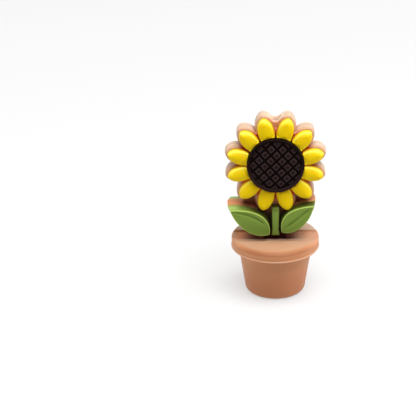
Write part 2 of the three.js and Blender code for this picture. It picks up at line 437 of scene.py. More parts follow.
class Nodes:
    """A node tree, of a material, the world or a shape."""

    def __init__(self, tree):
        self.nodes = tree.nodes
        self.links = tree.links

    def add(self, kind, settings=None, inputs=None, output=0):
        node = self.nodes.new(kind)
        for key, value in (settings or {}).items():
            setattr(node, key, value)
        self.fill(node, inputs or {})
        return Socket(self, node.outputs[output])

    def fill(self, node, inputs):
        for key, value in inputs.items():
            if isinstance(value, Socket):
                self.links.new(value.socket, node.inputs[key])
            else:
                node.inputs[key].default_value = value

    def maths(self, operation, *values):
        return self.add("ShaderNodeMath", {"operation": operation}, dict(enumerate(values)))

    def length(self, vector):
        return self.add("ShaderNodeVectorMath", {"operation": "LENGTH"}, {0: vector}, 1)

    def joined(self, *parts):
        return self.add("ShaderNodeCombineXYZ", None, dict(enumerate(parts)))

    def split(self, vector):
        first = self.add("ShaderNodeSeparateXYZ", None, {0: vector})
        return [Socket(self, out) for out in first.socket.node.outputs]

    def ramp(self, value, start, end, low=0.0, high=1.0):
        """A smooth step of a value from low to high, between start and end."""
        return self.add("ShaderNodeMapRange", {"interpolation_type": "SMOOTHSTEP"},
                        {0: value, 1: start, 2: end, 3: low, 4: high})


class Finish(Nodes):
    """A material and its node tree."""

    def __init__(self, name):
        self.material = bpy.data.materials.new(name)
        self.material.use_nodes = True
        super().__init__(self.material.node_tree)
        self.shader = self.nodes["Principled BSDF"]

    def place(self):
        return self.add("ShaderNodeTexCoord", output="Object")

    def size(self, value):
        return self.maths("ABSOLUTE", value)

    def largest(self, first, second):
        return self.maths("MAXIMUM", first, second)

    def patch(self, *steps):
        """The product of masks and of smooth steps (length, start, end), these in millimetres."""
        product = None
        for step in steps:
            if not isinstance(step, Socket):
                length, start, end, *levels = step
                step = self.ramp(length, start * MM, end * MM, *levels)
            product = step if product is None else product * step
        return product

    def paint(self, colour, *layers):
        """The colour with each layer of (mask, tint) laid over it in turn."""
        for mask, tint in layers:
            colour = self.mix(mask, colour, tint)
        return colour

    def reach(self, across, up):
        """How far a point is from an axis, by its two offsets from it."""
        return self.length(self.joined(across, up))

    def tone(self):
        return self.add("ShaderNodeAttribute", {"attribute_name": "tone"}, output="Fac")

    def noise(self, size, detail=2.0, vector=None):
        """Soft noise from 0 to 1 whose features are about size metres across."""
        where = vector or self.place()
        return self.add("ShaderNodeTexNoise", None,
                        {"Vector": where, "Scale": 1 / size, "Detail": detail})

    def mix(self, factor, first, second):
        """A blend of two colours, which are a Mix node's inputs 6 and 7 and its output 2."""
        first, second = (c if isinstance(c, Socket) else (*c, 1.0) for c in (first, second))
        return self.add("ShaderNodeMix", {"data_type": "RGBA"}, {0: factor, 6: first, 7: second}, 2)

    def bump(self, height, distance, strength):
        return self.add("ShaderNodeBump", None,
                        {"Height": height, "Distance": distance, "Strength": strength})


# ---- materials ----
def silicone(finish, colour, roughness, glow, gloss, tint):
    """Satin moulded silicone: a soft mottle, a fine grain, and light that sinks in a little."""
    mottle = finish.noise(1.6 * MM, 3.0)
    grain = finish.noise(0.1 * MM) * 0.6 + finish.noise(0.5 * MM, 1.0)
    finish.shader.subsurface_method = "RANDOM_WALK"
    finish.fill(finish.shader, {
        "Base Color": finish.mix(mottle * 0.35, colour, finish.mix(0.22, colour, BLACK)),
        "Roughness": mottle * 0.12 + (roughness - 0.06),
        "Normal": finish.bump(grain, 0.01 * MM, 0.55),
        "Subsurface Weight": glow,
        "Subsurface Radius": (1.0, 0.38, 0.2),
        "Subsurface Scale": 0.55 * MM,
        "Specular IOR Level": gloss,
        "Specular Tint": (*tint, 1.0),
    })
    return finish.material


def clay_finish(colours):
    """Terracotta silicone with painted light and shade: painted light where the lobes are thin,
    painted shade and a painted red glow down between the pads.
    """
    finish = Finish("terracotta_silicone")
    patch, ramp, largest = finish.patch, finish.ramp, finish.largest
    x, y, z = finish.split(finish.place())
    depth, aside, out = finish.size(y), finish.size(x), finish.reach(x, y)
    up = z - FLOWER_Z * MM
    radius = finish.reach(x, up)
    clefts = finish.maths("COSINE", finish.maths("ARCTAN2", up, x) * 12.0)

    # the pot, its rim and the straight recess across it
    # edges: where the rim's lip gets a painted highlight and the pot's foot painted bounce light
    edges = patch((z, 7.95, 7.72), (z, 7.6, 7.64)) * 0.5 + patch((z, 0.8, 0.1)) * 0.3
    above = patch((z, 9.6, 9.45))
    top = patch((z, 9.1, 9.32), above)
    shoulder = patch((out, 5.75, 6.75), (z, 8.45, 8.85), (depth, 2.8, 5.6), above)
    trench = patch((z, 9.3, 9.25), (z, 9.0, 9.1), (depth, 1.62, 1.5))
    # recess: where the rim's recess gets painted shade, deepest under the stem
    recess = patch(trench, (largest(x * 1.25, x * -0.85), 5.0, 2.4))
    # the leaf arms, and the thin flash that joins them to the stem's web
    arms = patch((z, 12.6, 13.2), (z, 16.4, 15.9))
    outer = patch(arms, (aside, 4.8, 6.2))
    flash = patch((depth, 0.34, 0.31), (z, 16.4, 15.9), (aside, 5.2, 4.9), (z, 13.0, 13.2))
    # web: painted shade on the web behind the stem, darkest at its foot
    web = finish.mix(patch((z, 14.8, 13.2)), WEB_TOP_SHADE, WEB_LOW_SHADE)
    web = finish.mix(patch((z, 10.8, 9.9)), web, WEB_FOOT_SHADE)
    # stem: the core between the leaves behind the stem, down to the rim's recess, which gets
    # painted shade
    stem = patch((z, 16.5, 14.5), (z, 9.12, 9.2), (aside, 5.7, 4.3), (depth, 1.62, 1.5),
                 largest(patch((aside, 2.3, 2.0)), patch((z, 9.35, 9.6))))
    # the flower's lobes and clefts, the mould's parting line and the bore
    lobes = patch((z, 15.2, 17.2), (radius, 4.6, 6.6))
    lobes = lobes * (1 - patch((aside, 1.5, 0.8), (depth, 0.8, 1.1)))
    # thick: the upper clefts between lobes, where painted light gives way to painted shade
    thick = patch(ramp(clefts, 0.3, 0.97), (radius, 6.9, 6.1))
    # thin: painted light through the thin lobes, palest at the parting line
    thin = patch(lobes, (depth, 1.25, 0.1, 0.45, 1.0)) * (1 - thick * 0.45)
    mouth = patch((z, 27.6, 28.6), (aside, 1.5, 0.7), (depth, 1.15, 0.5))
    bore = patch((out, 1.25, 1.0), (z, 25.0, 27.0), (z, 28.1, 29.2, 0.12, 0.6))
    parting = patch((depth, 0.2, 0.06), lobes) * (1 - mouth)
    # petal_gap_glow: where the core between the petals gets a painted glow
    petal_gap_glow = patch((depth, 0.8, 1.2), (radius, 6.5, 5.3), (z, 9.3, 9.7), (z, 27.6, 27.1))
    cleft_foot_highlights = patch((finish.size(radius - 5.95 * MM), 0.22, 0.1), ramp(clefts, 0.93, 0.99),
                       (depth, 0.9, 1.1), (z, 25.5, 26.5))
    # gaps: painted shade in the rim's recess and on the recessed flash, with the mould's parting
    # line
    gaps = largest(flash * 0.6, largest(recess * 0.95, parting * 0.3))

    clay = finish.paint(
        colours.terracotta,
        (patch((z, 7.0, 1.5)), colours.terracotta_low),
        # painted highlight on the rim's lip and painted bounce light round the pot's foot
        (edges, colours.peach_painted_light),
        # painted sheen on the rim's top
        (top, colours.rim_top_sheen),
        (shoulder * 0.95, SHOULDER_SHADE),
        # painted light on the left of the rim's recess and at its two ends, where its painted shade
        # falls off
        (patch(trench, (x, 0.0, -3.0), (aside, 6.6, 5.8)), TRENCH_PAINTED_LIGHT),
        (patch(trench, (largest(x * 1.2, x * -1.0), 5.4, 6.6)) * 0.7, TRENCH_END_PAINTED_LIGHT),
        # painted light on the rim's back edge
        (patch((y, 1.5, 1.75), (z, 8.7, 9.1), above) * 0.5, colours.peach_painted_light),
        # painted highlight along the front edge of the rim's recess
        (patch(top, (depth, 1.95, 1.6), (y, 0.0, -0.5), (aside, 6.0, 4.6)) * 0.5, colours.cream_painted_light),
        # painted light on the leaf arms' tops, in the flower's shadow
        (patch(arms, (aside, 4.6, 5.6)) * 0.6, ARM_PAINTED_LIGHT),
        # painted highlight along the arms' back edges
        (patch(outer, (y, 0.95, 1.15)) * 0.6, colours.cream_painted_light),
        (patch(outer, (y, -0.95, -1.2)) * 0.8, ARM_GREEN),
        # painted shade down in the upper clefts between lobes
        (patch(thick, (z, 17.5, 19.0)) * 0.55, CLEFT_PAINTED_SHADE),
        # painted light through the thin lobes
        (thin, colours.peach_painted_light),
        # painted light in the hole's mouth and down its far wall
        (largest(mouth * 0.25, bore), colours.cream_painted_light),
        # painted shade behind the stem
        (stem, web),
        # painted shade in the recess and on the flash, and the parting line
        (gaps, colours.recess),
        # painted glow down between the petals
        (petal_gap_glow, colours.glow),
        # painted highlight at the feet of the clefts between lobes
        (cleft_foot_highlights * 0.8, CLEFT_FOOT_HIGHLIGHT),
    )
    silicone(finish, clay, roughness=0.5, glow=0.35, gloss=0.28, tint=(1.0, 0.75, 0.6))
    finish.fill(finish.shader, {"Roughness": largest(gaps, stem) * 0.4 + 0.5})
    return finish.material


def brown_finish(colours):
    """Dark brown silicone, with painted shade near black down in the waffle's grooves and round the
    disc's edge, and painted highlights on the cells' edges.
    """
    finish = Finish("brown_silicone")
    patch, tone = finish.patch, finish.tone()
    x, y, z = finish.split(finish.place())
    radius = finish.reach(x, z - DISC_Z * MM)
    field = finish.reach(x, z - (DISC_Z + FIELD_RISE) * MM)
    bow = (DISC_CROWN_FRONT - DISC_EDGE_FRONT) / 3.95**2 / MM
    height = finish.size(y) - DISC_CROWN_FRONT * MM + radius * radius * bow
    # low and ring_painted_shade: the ring painted darker towards its top and its outer edge
    low = patch((z, DISC_Z + 2.5, DISC_Z - 3.2, 0.03, 0.85))
    on_ring = patch((field, 3.85, 3.97))
    ring_painted_shade = low * patch((radius, 4.2, 4.36, 1.0, 0.3))
    raised = patch((height, -0.24, -0.07)) * (on_ring * (ring_painted_shade - 1.0) + 1.0)
    body = finish.paint(
        # painted shade near black in the grooves and round the disc's edge
        GROOVE_SHADE,
        (raised, colours.brown),
        # painted highlight round the cells' top edges, painted shade in their sunk diamonds
        (patch(finish.ramp(tone, 0.55, 1.0), (field, 3.8, 3.0, 0.2, 0.8)), CELL_EDGE_HIGHLIGHT),
        (finish.ramp(tone, 0.48, 0.2) * 0.45, CELL_HOLLOW_SHADE),
    )
    return silicone(finish, body, roughness=0.5, glow=0.03, gloss=0.09, tint=(0.6, 0.4, 0.4))


def leaf_finish(colours):
    """Green silicone, with a painted highlight along the bevel of each leaf and painted shade in
    its midrib.
    """
    finish = Finish("green_silicone")
    patch, tone = finish.patch, finish.tone()
    x, y, z = finish.split(finish.place())
    aside = finish.size(x)
    wall = patch((finish.size(y), 2.65, 2.1))
    lit = patch(wall, (aside, 5.2, 6.6), (z, 11.5, 13.0), (y, -1.0, 1.0, 0.45, 0.85))
    tucked_shade = patch(wall, (finish.largest(x * 0.64, x * -1.0), 5.8, 2.9))
    stem_top_shade = patch((z, 14.2, 15.0), (aside, 0.75, 0.65))
    body = finish.paint(
        colours.green,
        (finish.ramp(tone, 0.5, 1.0), LEAF_BEVEL_HIGHLIGHT),
        (finish.ramp(tone, 0.45, 0.0), LEAF_MIDRIB_SHADE),
        # painted light on the upper walls towards the tips
        (lit, LEAF_TIP_WALL_LIGHT),
        (patch((z, 13.5, 10.5)) * 0.3, LEAF_FOOT),
        # painted shade on the walls and stem top tucked under the flower
        (finish.largest(tucked_shade * 0.93, stem_top_shade * 0.6), LEAF_TUCKED_SHADE),
    )
    return silicone(finish, body, roughness=0.45, glow=0.2, gloss=0.35, tint=(0.6, 0.9, 0.2))


def petal_finish(colours):
    """Yellow silicone: a painted lemon highlight where it curves up, painted red shade low in the
    gaps, a painted shadow below the disc and a painted glow by the disc and in the gaps, with faint
    drag lines.
    """
    finish = Finish("yellow_silicone")
    patch, ramp, tone = finish.patch, finish.ramp, finish.tone()
    x, _, z = finish.split(finish.place())
    up = z - FLOWER_Z * MM
    from_disc = finish.reach(x, z - DISC_Z * MM)
    body = finish.paint(
        colours.yellow,
        (ramp(tone, 0.5, 1.0), PETAL_LIT),
        (ramp(tone, 0.42, 0.0), PETAL_GAP_SHADE),
        # painted shadow of the disc on the petals below it
        (patch((from_disc, 5.0, 4.4), (z, DISC_Z - 2.6, DISC_Z - 4.0)) * 0.85, PETAL_DISC_SHADOW),
    )
    silicone(finish, body, roughness=0.5, glow=0.2, gloss=0.35, tint=(1.0, 0.7, 0.02))
    by_disc = patch((from_disc, 4.75, 4.5), ramp(tone, 0.4, 0.5), (z, DISC_Z - 2.0, DISC_Z - 0.5))
    strands = finish.joined(finish.maths("ARCTAN2", up, x) * 6.0 * MM, finish.reach(x, up) * 0.12)
    finish.fill(finish.shader, {
        "Normal": finish.bump(finish.noise(0.11 * MM, 2.0, strands), 0.01 * MM, 0.5),
        # painted glow by the disc's edge and in the gaps
        "Emission Color": finish.paint(
            BLACK, (by_disc, PETAL_EDGE_LIGHT), (ramp(tone, 0.42, 0.1), PETAL_GAP_LIGHT)),
        "Emission Strength": 1.0,
    })
    return finish.material


def floor_finish(colours):
    finish = Finish("pale_floor")
    darker = [c * 0.985 for c in colours.floor]
    finish.fill(finish.shader, {
        "Base Color": finish.mix(finish.noise(0.4) * 0.3, colours.floor, darker),
        "Roughness": 0.75,
        "Specular IOR Level": 0.1,
        "Emission Color": (1.0, 1.0, 1.0, 1.0),
        "Emission Strength": FLOOR_GLOW,
    })
    return finish.material


def finish_for(name):
    """The bead's materials, made once each."""
    if name in bpy.data.materials:
        return bpy.data.materials[name]
    colours = bpy.context.scene.bead_colours
    makers = {
        "terracotta_silicone": clay_finish,
        "yellow_silicone": petal_finish,
        "brown_silicone": brown_finish,
        "green_silicone": leaf_finish,
    }
    return makers[name](colours)


# ---- the core: pot, rim, flower plate, leaf arms, web and neck, one moulding with a bore ----
def pot_profile(sizes):
    """The pot and its rim, whose shoulder is wide in front and behind and tight at the sides."""
    around = np.arange(RING_POINTS) * 2 * math.pi / RING_POINTS
    behind, facing = np.sin(around) > 0, np.abs(np.sin(around))
    wide = np.clip((facing - np.where(behind, 0.62, 0.3)) / np.where(behind, 0.36, 0.5), 0.0, 1.0)
    wide *= wide * (3 - 2 * wide)
    tight = 0.45
    shoulder = tight + (sizes.rim_shoulder / MM - tight) * wide
    fall = tight + (sizes.rim_fall / MM - tight) * wide
    return [
        (0.0, 0.0), (2.6, 0.0),
        *arc(3.757, 1.0, 1.0, -90, -6, 14),
        *[(4.757 + 0.1575 * (z - 1.0), z) for z in np.linspace(1.5, 7.3, 10)],
        (5.84, 7.58), (6.0, 7.62), (6.74, 7.62),
        *arc(6.82, 7.73, 0.11, -70, 55, 6),
        (6.83, 7.9), (6.84, 8.15),
        *[(RIM_RADIUS - shoulder * (1 - math.cos(a)), RIM_TOP - fall * (1 - math.sin(a)))
          for a in np.radians(np.linspace(0, 90, 18))],
        *[(radius, RIM_TOP) for radius in (4.6, 2.6, 0.0)],
    ]


def band_cutter():
    """The long bar that cuts the straight recess across the rim and rounds the edges beside it."""
    side = [(1.44, 9.13), (1.5, 9.17), *arc(1.7, 9.16, 0.19, 170, 92, 6), (1.74, 9.4), (1.74, 10.5)]
    loop = side + [(-y, z) for y, z in side[::-1]]
    count, past_rim = len(loop), 8.0
    points = [(x, y, z) for x in (-past_rim, past_rim) for y, z in loop]
    faces = [tuple(range(count))[::-1], tuple(range(count, 2 * count))]
    faces += [(i, (i + 1) % count, count + (i + 1) % count, count + i) for i in range(count)]
    return points, faces


def core_margins(sizes, middle, face):
    """(margin, y) from the front face over the parting line to the back face."""
    full, rounding = middle - 0.03, CORE_HALF - CORE_STRAIGHT
    half = [(face + (full - face) * math.cos(angle), CORE_STRAIGHT + rounding * math.sin(angle))
            for angle in np.radians(np.linspace(90, 0, 8))]
    half += [(middle - 0.015, 0.5), (middle, 0.16), (middle, 0.08)]
    half.append((middle - sizes.parting_groove / MM, 0.03))
    return [(m, -y) for m, y in half] + [(m, y) for m, y in half[::-1]]


def flower_loop(margin):
    """The outline of all the petals' lobes together, each grown by the margin."""
    count, heart, under_lobes = 900, 5.2, 3.0
    cleft_softness, saddle_softness, saddle_reach = 0.05, 0.16, math.radians(20)
    angles = np.arange(count) * 2 * math.pi / count
    radii = [np.full(count, heart)]
    for degrees, tip, width in PETAL_PAIRS:
        side = bezier(petal_controls(tip, width)[::-1] * (1, -1), 60)
        loop = np.vstack([side, (side * (1, -1))[::-1][1:]])
        step = np.gradient(loop, axis=0)
        normal = np.c_[step[:, 1], -step[:, 0]] / lengths(step)[:, None]
        grown = loop + normal * margin
        bearing, length = np.arctan2(grown[:, 1], grown[:, 0]), lengths(grown)
        order = np.argsort(bearing)
        for middle in (math.radians(degrees), math.pi - math.radians(degrees)):
            offset = (angles - middle + math.pi) % (2 * math.pi) - math.pi
            radii.append(np.interp(offset, bearing[order], length[order],
                                   left=under_lobes, right=under_lobes))
    radii = np.array(radii)
    peak = radii.max(0)
    lobes = peak + cleft_softness * np.log(np.exp((radii - peak) / cleft_softness).sum(0))
    near_top = np.abs(angles - math.pi / 2) < saddle_reach
    saddle = (SADDLE_Z - FLOWER_Z - PLATE_MARGIN + margin) / np.maximum(np.sin(angles), 0.1)
    saddle = np.where(near_top, saddle, 0.0)
    high = np.maximum(lobes, saddle)
    joined = sum(np.exp((radius - high) / saddle_softness) for radius in (lobes, saddle))
    radius = np.where(near_top, high + saddle_softness * np.log(joined), lobes)
    return np.c_[radius * np.cos(angles), FLOWER_Z + radius * np.sin(angles)]


def slab(inner, margins, grown):
    """A form as thick as the core: its inner loops on both faces, its grown outlines between."""
    shell = Shell()
    for loop in inner:
        shell.ring(loop, -CORE_HALF)
    for margin, y in margins:
        shell.ring(grown(margin), y)
    for loop in inner[::-1]:
        shell.ring(loop, CORE_HALF)
    return shell.skin()


def flower_plate(sizes):
    middle = np.array([0.0, FLOWER_Z])
    margins = core_margins(sizes, PLATE_MARGIN, 0.1)
    face = flower_loop(margins[0][0])
    inner = [middle + (face - middle) * share for share in (0.0, 0.5, 0.94)]
    return slab(inner, margins, flower_loop)


def leaf_arm(sizes, side):
    outline = leaf_outline(*LEAVES[side])
    inner = [outline.inward(share) for share in (1.0, 0.5)]
    return slab(inner, core_margins(sizes, 0.16, 0.03), lambda margin: outline.inset(-margin))


def make_core(sizes):
    clay = finish_for("terracotta_silicone")
    core = mesh_object("core", *turned(pot_profile(sizes)), clay)
    combine(core, "DIFFERENCE", mesh_object("band", *band_cutter(), clay))
    web = mesh_object("web", *block(-1.9, 1.9, -1.2, 1.2, 1.0, 19.0), clay)
    flash = mesh_object("flash", *block(-4.9, 4.6, -0.3, 0.3, 13.2, 17.0), clay)
    shells = [leaf_arm(sizes, side) for side in LEAVES] + [flower_plate(sizes)]
    forms = [mesh_object("form", shell.points, shell.faces, clay) for shell in shells]
    modified(web, "BEVEL", width=0.5 * MM, segments=5)
    combine(core, "UNION", web, flash, *forms)
    wide = BORE_RADIUS + 0.2
    bore = [(0.0, -1.0), (wide, -1.0), (BORE_RADIUS + 0.12, 0.0), (BORE_RADIUS, 0.15),
            (BORE_RADIUS, SADDLE_Z - 0.15), (BORE_RADIUS + 0.1, SADDLE_Z),
            (wide, 32.0), (0.0, 32.0)]
    combine(core, "DIFFERENCE", mesh_object("bore", *turned(bore, 64), clay))
    finish_normals(core.data, 34.0)
    return core


# ---- the coloured pads ----
def pad(outline, wall, face):
    """A pad, by rings of (inset, y, tone) up its wall, then of (share, y, tone) to its spine."""
    shell = Shell()
    for line in ((outline.loop + reversed_loop(outline.loop)) / 2, outline.loop):
        shell.ring(line, wall[0][1])
    for inset, y, tone in wall[1:]:
        edge = outline.inset(inset)
        shell.ring(edge, y, tone)
    for share, y, tone in face:
        shell.ring(outline.inward(share, edge), y, tone)
    return shell.skin()


def rounded_edge(inset, across, y, rise, start, tone):
    """Rows of a pad's wall that round its edge over, from the start angle to near its face."""
    return [(inset + across * (1 - math.cos(angle)), y - rise * math.sin(angle), tone)
            for angle in np.radians(np.linspace(start, 80, 5))]


def petal_pad(sizes, outline):
    """A plump pad, tight where it meets the disc, its tones painting deep shade on its low inner
    walls and a highlight where its edge faces up.
    """
    from_disc = lengths(outline.loop - (0.0, DISC_Z))
    from_middle = lengths(outline.loop - (0.0, FLOWER_Z))
    step = np.roll(outline.loop, -1, axis=0) - np.roll(outline.loop, 1, axis=0)
    lit = np.clip(-step[:, 0] / np.maximum(lengths(step), 1e-9), 0.0, 1.0)  # where it faces up
    by_disc = np.clip((4.66 - from_disc) / 0.18, 0.0, 1.0)
    side = 1 - by_disc
    # deep: where painted shade falls, low in the gaps
    deep = np.clip((7.2 - from_middle) / 1.2, 0.0, 1.0) * (1 - lit * 0.6)
    rim = PETAL_FRONT - 0.04
    crown = sizes.petal_crown / MM
    top = rim + crown
    rounding = sizes.petal_rounding / MM * (1 - 0.82 * by_disc)
    edge = rim + crown * 0.25 * by_disc
    wall = [(0.0, SUNK - CORE_HALF, (0.45 - 0.45 * deep) * side),
            (0.0, -CORE_HALF - 0.1, (0.48 - 0.46 * deep) * side),
            (0.0, -1.8, (0.5 - 0.36 * deep) * side)]
    # tones over a half paint a highlight on the rounded edge where it faces up and by the disc,
    # those under a half paint shade low in the gaps
    for angle in np.radians(np.linspace(0, 80, 8)):
        tone = 0.5 + 0.36 * lit * side * math.cos(angle - 0.5) ** 2
        tone = tone - 0.34 * deep * side * max(0.0, 1 - angle / 0.8)
        tone = tone + by_disc * (0.65 * math.sin(angle) - 0.5)
        inset = 0.02 + rounding * (1 - math.cos(angle))
        wall.append((inset, rounding - edge - rounding * math.sin(angle), tone))
    lift = -wall[-1][1]
    face = []
    for share in (0.08, 0.2, 0.35, 0.5, 0.66, 0.84, 1.0):
        swell = 1 - (1 - share) ** 2
        face.append((share, -lift - (top - lift) * swell, 0.5 + 0.1 * lit * (1 - share)))
    return pad(outline, wall, face)


def petal_pads(sizes):
    flower = Shell()
    for degrees, tip, width in PETAL_PAIRS:
        for bearing in (degrees, 180 - degrees):
            flower.join(petal_pad(sizes, petal_outline(bearing, tip, width)))
    return flower


def leaf_pad(sizes, side):
    """A leaf with a narrow bevel round it and a groove along its midrib that fades at both ends."""
    bevel, depth = sizes.leaf_bevel / MM, sizes.midrib_depth / MM
    outline = leaf_outline(*LEAVES[side])
    # tones over a half paint the highlight on the bevel
    wall = [(0.0, SUNK - CORE_HALF, 0.5), (0.0, -CORE_HALF, 0.5), (0.02, -1.45, 0.5),
            (0.2, -2.55, 0.55), *rounded_edge(0.2, bevel, -2.59, 0.16, 10, 0.9)]
    run = np.abs(np.linspace(-1, 1, len(outline.loop), endpoint=False))
    fade = np.clip(np.minimum(run, 1 - run) * 5.0, 0.0, 1.0)
    reach = np.maximum(lengths(outline.inset(wall[-1][0]) - outline.spine), 1e-6)
    groove = np.minimum(0.36, reach * 0.5)
    squeeze = np.minimum(1.0, (1 - groove / reach) / 0.76)[:, None]  # keeps clear of the groove
    face = []
    for share, rise in ((0.03, -0.01), (0.08, -0.035), (0.25, -0.03), (0.5, 0.0), (0.72, 0.015)):
        face.append((share * squeeze, -LEAF_FRONT - rise, 0.62 if share < 0.05 else 0.5))
    # tones under a half paint shade in the midrib's groove
    for at, sink in ((1.0, 0.0), (0.75, 0.2), (0.45, 0.65), (0.2, 0.92)):
        share = 1 - (groove * at / reach)[:, None]
        face.append((share, -LEAF_FRONT + depth * sink * fade, 0.5 - 0.25 * sink * fade))
    face.append((1.0, -LEAF_FRONT + depth * fade, 0.5 - 0.27 * fade))
    return pad(outline, wall, face)


def stem_pad():
    half_width, foot, top, corner, count = 0.6, 10.3, 15.1, 0.15, 60
    right = np.array([
        (0.0, foot), (half_width + 0.05, foot), (half_width + 0.02, foot + 0.25),
        (half_width - 0.03, foot + 0.9), (half_width - 0.02, 13.0),
        (half_width, top - corner), (half_width - corner, top), (0.0, top)])
    right = along(right, count)
    left = right * (-1, 1)
    spine = np.c_[np.zeros(count), np.clip(right[:, 1], foot + 0.5, top - 0.5)]
    # tones over a half paint a highlight on the rounded edge, those under a half a little shade on
    # the face
    wall = [(0.0, SUNK - CORE_HALF, 0.5), (0.0, -CORE_HALF, 0.4), (0.02, -2.2, 0.5),
            *rounded_edge(0.02, 0.22, -2.25, 0.25, 15, 0.58)]
    face = [(share, -STEM_FRONT - rise, tone)
            for share, rise, tone in ((0.3, 0.01, 0.5), (0.65, 0.03, 0.45), (1.0, 0.035, 0.4))]
    return pad(Outline(right, left, spine), wall, face)


def disc_blank(sizes):
    """The disc without its waffle: a domed floor inside a smooth raised ring."""
    field = DISC_RADIUS - sizes.ring_width / MM
    floor = DISC_CROWN_FRONT - sizes.cell_relief / MM
    dome = DISC_CROWN_FRONT - DISC_EDGE_FRONT
    base = CORE_HALF - SUNK
    profile = [(0.0, base), (DISC_RADIUS - 0.03, base), (DISC_RADIUS, 1.5)]
    profile += arc(DISC_RADIUS - DISC_CORNER, DISC_EDGE_FRONT - DISC_CORNER, DISC_CORNER, 0, 88, 7)
    profile += arc(field + 0.1, DISC_EDGE_FRONT - 0.09, 0.1, 92, 178, 4)
    for share in (1.0, 0.8, 0.6, 0.4, 0.2, 0.0):
        profile.append((field * share, floor - dome * share**2))
    blank = Shell()
    points, blank.faces = turned(profile, 128)
    for x, y, height in points:
        rise = FIELD_RISE * (math.hypot(x, y) < field + 0.11)
        blank.points.append((x, -height, DISC_Z + y + rise))
    blank.tones = [0.5] * len(points)
    return blank


def waffle_cell(sizes):
    """One diamond: a bevelled pyramid frustum with a small sunk diamond in its top."""
    half = (sizes.cell_width / MM / 2, sizes.cell_height / MM / 2)
    top = sizes.cell_relief / MM
    # tones over a half paint a highlight round the top edge, those under a half paint shade in the
    # sunk diamond
    steps = (  # size, height, tone
        (0.74, -0.06, 0.4), (0.7, top * 0.45, 0.5), (0.655, top - 0.05, 0.6),
        (0.62, top, 1.0), (0.54, top, 0.9), (0.48, top, 0.5), (0.34, top - 0.015, 0.5),
        (0.29, top - 0.1, 0.2), (0.12, top - 0.12, 0.3), (0.0, top - 0.12, 0.5),
    )
    shell = Shell()
    here = np.array([(1, 0), (0, 1), (-1, 0), (0, -1)], float)
    before, after = np.roll(here, 1, axis=0), np.roll(here, -1, axis=0)
    for size, height, tone in steps:
        soft = 0.1 * (size > 0.2)
        loop = np.hstack([here + (before - here) * soft, here * (1 - soft * 0.6),
                          here + (after - here) * soft]).reshape(-1, 2)
        shell.ring(loop * size * half, -height, tone)
    shell.skin()
    shell.faces.append(tuple(range(len(loop))))
    return shell


def waffle_tree():
    """Nodes that set a cell on each point of a diamond lattice within reach of its middle."""
    tree = bpy.data.node_groups.new("waffle", "GeometryNodeTree")
    tree.interface.new_socket("Geometry", in_out="OUTPUT", socket_type="NodeSocketGeometry")
    inputs = {"Cell": "Object", "Finish": "Material", "Place": "Vector"}
    inputs |= dict.fromkeys(("Half width", "Half height", "Reach", "Fall", "Lift", "Turn"), "Float")
    for title, kind in inputs.items():
        tree.interface.new_socket(title, in_out="INPUT", socket_type=f"NodeSocket{kind}")
    shape = Nodes(tree)
    add = shape.add
    given = {out.name: Socket(shape, out) for out in tree.nodes.new("NodeGroupInput").outputs}
    join = tree.nodes.new("GeometryNodeJoinGeometry")
    for rows in (9, 10):  # two grids, each with its points in the middles of the other's squares
        across, up = (given[half] * (2.0 * (rows - 1)) for half in ("Half width", "Half height"))
        grid = add("GeometryNodeMeshGrid", None, {
            "Size X": across, "Size Y": up, "Vertices X": rows, "Vertices Y": rows})
        shape.fill(join, {0: grid})
    here = add("GeometryNodeInputPosition")
    off = shape.length(here)
    beyond = add("FunctionNodeCompare", {"data_type": "FLOAT", "operation": "GREATER_THAN"},
                 {0: off, 1: given["Reach"]})
    kept = add("GeometryNodeDeleteGeometry", None, {0: Socket(shape, join.outputs[0]), 1: beyond})
    leant = add("ShaderNodeVectorRotate", {"rotation_type": "Z_AXIS", "invert": True},
                {"Vector": here, "Angle": given["Turn"]})
    across, up, _ = shape.split(leant)
    stood = shape.joined(across, off * off * given["Fall"] - given["Lift"], up)
    placed = add("ShaderNodeVectorMath", {"operation": "ADD"}, {0: stood, 1: given["Place"]})
    moved = add("GeometryNodeSetPosition", None, {0: kept, 2: placed})
    cell = add("GeometryNodeObjectInfo", None, {0: given["Cell"]}, "Geometry")
    spin = shape.joined(0.0, given["Turn"])
    copies = add("GeometryNodeInstanceOnPoints", None, {
        "Points": moved, "Instance": cell, "Rotation": spin})
    solid = add("GeometryNodeRealizeInstances", None, {0: copies})
    coloured = add("GeometryNodeSetMaterial", None, {0: solid, 2: given["Finish"]})
    shape.fill(tree.nodes.new("NodeGroupOutput"), {0: coloured})
    return tree


